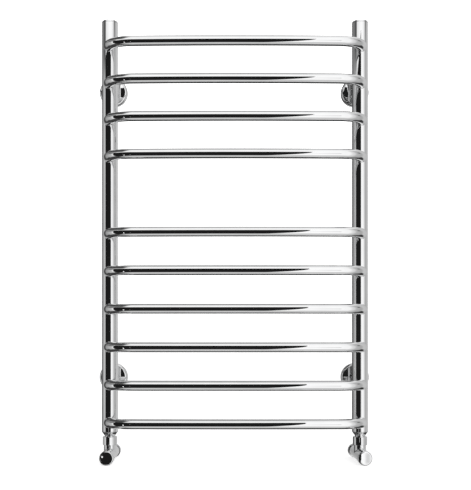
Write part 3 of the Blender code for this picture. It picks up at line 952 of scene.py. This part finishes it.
def studio_light():
    """Bright walls in front and above, greyer sides, and a dark corner behind on the left."""
    sky = Sky()
    # Round the horizon, from straight behind, past the left side, the room and the right side
    around = sky.ramp(
        sky.azimuth,
        [
            (-180, 0.55), (-172, 0.42), (-160, 0.05), (-130, 0.07), (-112, 0.34),
            (-76, 0.50), (-68, 0.8), (8, 1.06), (38, 1.0), (52, 0.74),
            (66, 0.48), (85, 0.42), (108, 0.58), (150, 0.52), (180, 0.55),
        ],
    )
    # Up from the floor to the ceiling
    stops = [(-90, 0.6), (-60, 0.6), (-36, 1), (50, 1), (66, 0.9), (90, 0.78)]
    ceiling = sky.ramp(sky.elevation, stops)
    overhead = sky.band(sky.elevation, 56, 100, 10)
    sky.value = sky.mix(sky.math("MULTIPLY", around, ceiling), ceiling, overhead)
    # A pale floor in front, and a dark one behind that outlines every lower edge
    sky.patch(0.62, (-90, 90), (-88, -50), (10, 4))
    sky.patch(0.04, (-200, -96), (-87, -26), (8, 5))
    sky.patch(0.04, (96, 200), (-87, -26), (8, 5))
    # Dim corners high and low on the left, which outline the bends
    sky.patch(0.07, (-164, -36), (36, 74), (8, 5))
    sky.patch(0.05, (-164, -64), (-80, -36), (8, 4))
    sky.patch(0.30, (152, 200), (52, 76), (16, 8))
    sky.patch(0.30, (-200, -152), (52, 76), (16, 8))
    # Narrow dark posts high up at each side, which line the tops of the tubes
    sky.patch(0.10, (70, 84), (19, 30), (2, 1.5))
    sky.patch(0.22, (-130, -95), (17, 30), (4, 1.5))
    sky.patch(0.10, (-95, -56), (17, 30), (3, 1.5))
    # A soft grey panel in the bright wall on the right
    sky.patch(0.72, (10, 17), (-15, 1), (3, 4))
    sky.finish()


def new_stage(name, shape, brightness):
    """A glowing piece of the stage, which the chrome doesn't see unless it is told to."""
    mesh = bpy.data.meshes.new(name)
    shape.to_mesh(mesh)
    shape.free()
    surface = bpy.data.materials.new(name)
    surface.use_nodes = True
    shader = surface.node_tree.nodes["Principled BSDF"]
    shader.inputs["Base Color"].default_value = (0.92, 0.92, 0.92, 1)
    shader.inputs["Roughness"].default_value = 0.9
    shader.inputs["Emission Color"].default_value = (1, 1, 1, 1)
    shader.inputs["Emission Strength"].default_value = brightness
    mesh.materials.append(surface)
    made = bpy.data.objects.new(name, mesh)
    bpy.context.scene.collection.objects.link(made)
    made.visible_glossy = False
    made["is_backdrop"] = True
    return made


def stage():
    """A pale floor under the object, and a white wall far behind it on every side."""
    ground = Matrix.Translation((0, 0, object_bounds()[0].z - FLOOR_GAP))
    disc = bmesh.new()
    bmesh.ops.create_circle(disc, cap_ends=True, segments=128, radius=FLOOR_RADIUS, matrix=ground)
    new_stage("floor", disc, 0.7)
    dome = bmesh.new()
    bmesh.ops.create_uvsphere(dome, u_segments=48, v_segments=24, radius=BACKDROP_RADIUS)
    backdrop = new_stage("backdrop", dome, 1.0)
    backdrop.visible_diffuse = False
    backdrop.visible_shadow = False
    screen()


def screen():
    """A dark curved screen before the object, with two small lamps, that only the chrome sees."""
    sheet = bmesh.new()
    columns = []
    for step in range(SCREEN_STEPS + 1):
        share = step / SCREEN_STEPS
        ends = []
        for left, right in SCREEN_EDGES:
            azimuth, height = (start + (end - start) * share for start, end in zip(left, right))
            turn = radians(azimuth)
            point = (SCREEN_RADIUS * sin(turn), -SCREEN_RADIUS * cos(turn), height)
            ends.append(sheet.verts.new(point))
        columns.append(ends)
    for (foot, head), (next_foot, next_head) in zip(columns, columns[1:]):
        sheet.faces.new((foot, head, next_head, next_foot))
    dark(new_stage("screen", sheet, 1.0), SCREEN_SHADES)
    for name, azimuth, half, heights, brightness in LAMPS:
        turn = radians(azimuth)
        centre = Vector((sin(turn), -cos(turn), 0)) * LAMP_RADIUS
        sideways = Vector((cos(turn), sin(turn), 0)) * half
        low, high = (Vector((0, 0, height)) for height in heights)
        lamp = bmesh.new()
        corners = (low - sideways, low + sideways, high + sideways, high - sideways)
        lamp.faces.new([lamp.verts.new(centre + corner) for corner in corners])
        dark(new_stage(name, lamp, 1.0), [(-1, brightness), (1, brightness)])


def dark(made, shades):
    """Leaves a stage piece only a glow, in two shades by height, that only the chrome sees."""
    tree = made.data.materials[0].node_tree
    shader = tree.nodes["Principled BSDF"]
    shader.inputs["Base Color"].default_value = (0, 0, 0, 1)
    shader.inputs["Specular IOR Level"].default_value = 0
    split = new_node(tree, "ShaderNodeSeparateXYZ")
    link(tree, new_node(tree, "ShaderNodeTexCoord").outputs["Object"], split.inputs["Vector"])
    (low, low_glow), (high, high_glow) = shades
    glow = spread(tree, split.outputs["Z"], low_glow, high_glow, low, high)
    link(tree, glow, shader.inputs["Emission Strength"])
    made.visible_glossy = True
    for ray in ("visible_camera", "visible_diffuse", "visible_transmission", "visible_shadow"):
        setattr(made, ray, False)


def camera():
    lens = bpy.data.cameras.new("camera")
    lens.sensor_fit = "VERTICAL"
    lens.sensor_width = 24
    lens.sensor_height = 36
    lens.lens = FOCAL * lens.sensor_height
    lens.shift_x, lens.shift_y = SHIFT
    lens.clip_end = 80
    made = bpy.data.objects.new("camera", lens)
    made.location = CAMERA_PLACE
    made.rotation_euler = (radians(90), 0, 0)
    bpy.context.scene.collection.objects.link(made)
    bpy.context.scene.camera = made
    bpy.context.scene.view_settings.view_transform = "Standard"


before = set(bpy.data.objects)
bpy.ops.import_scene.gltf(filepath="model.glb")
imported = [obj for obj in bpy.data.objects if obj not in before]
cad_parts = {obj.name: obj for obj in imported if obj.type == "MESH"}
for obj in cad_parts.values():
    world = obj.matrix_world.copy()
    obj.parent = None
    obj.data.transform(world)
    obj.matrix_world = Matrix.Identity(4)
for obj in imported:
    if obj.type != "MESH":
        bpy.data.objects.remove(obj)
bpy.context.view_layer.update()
LOOKS = finishes()
for rung_number in range(1, 11):
    rung(rung_number)
for tube_side in SIDES:
    upright(tube_side)
    top_cap(tube_side)
    end_cone(tube_side)
    valve(tube_side)
    for bracket_row in ROWS:
        bracket(bracket_row, tube_side)
air_vent()
dress_cad_nodes(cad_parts)
studio_light()
camera()
stage()
